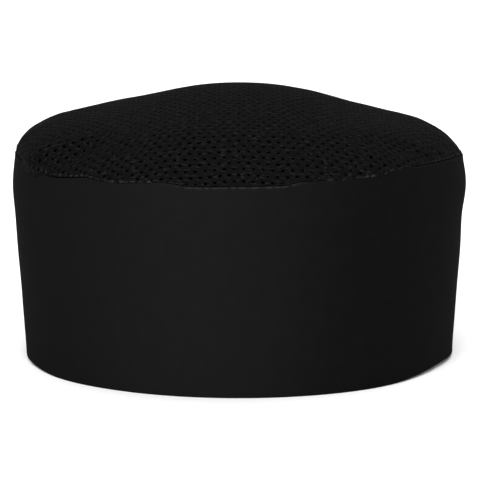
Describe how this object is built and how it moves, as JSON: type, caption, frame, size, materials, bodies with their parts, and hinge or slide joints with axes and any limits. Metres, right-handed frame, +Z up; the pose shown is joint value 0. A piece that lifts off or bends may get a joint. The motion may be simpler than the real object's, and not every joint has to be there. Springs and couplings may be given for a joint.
{
  "type": "chef skull cap",
  "caption": "Tall pillbox skull cap for kitchen wear: a smooth woven side band with a domed, vented mesh crown sewn into its top edge.",
  "frame": {"origin": "middle of the bottom edge, on the surface that the cap stands on", "axes": "+Z up towards the crown; -Y towards the brow, +Y towards the nape; +X towards the wearer's left ear"},
  "size_m": [0.1862, 0.1976, 0.1113],
  "materials": {
    "band_twill": "matt black poly-cotton twill, folded and pressed",
    "crown_mesh_knit": "black polyester eyelet mesh with a soft sheen"
  },
  "bodies": {
    "root": {"band": "band_twill", "crown_mesh": "crown_mesh_knit"}
  },
  "joints": []
}
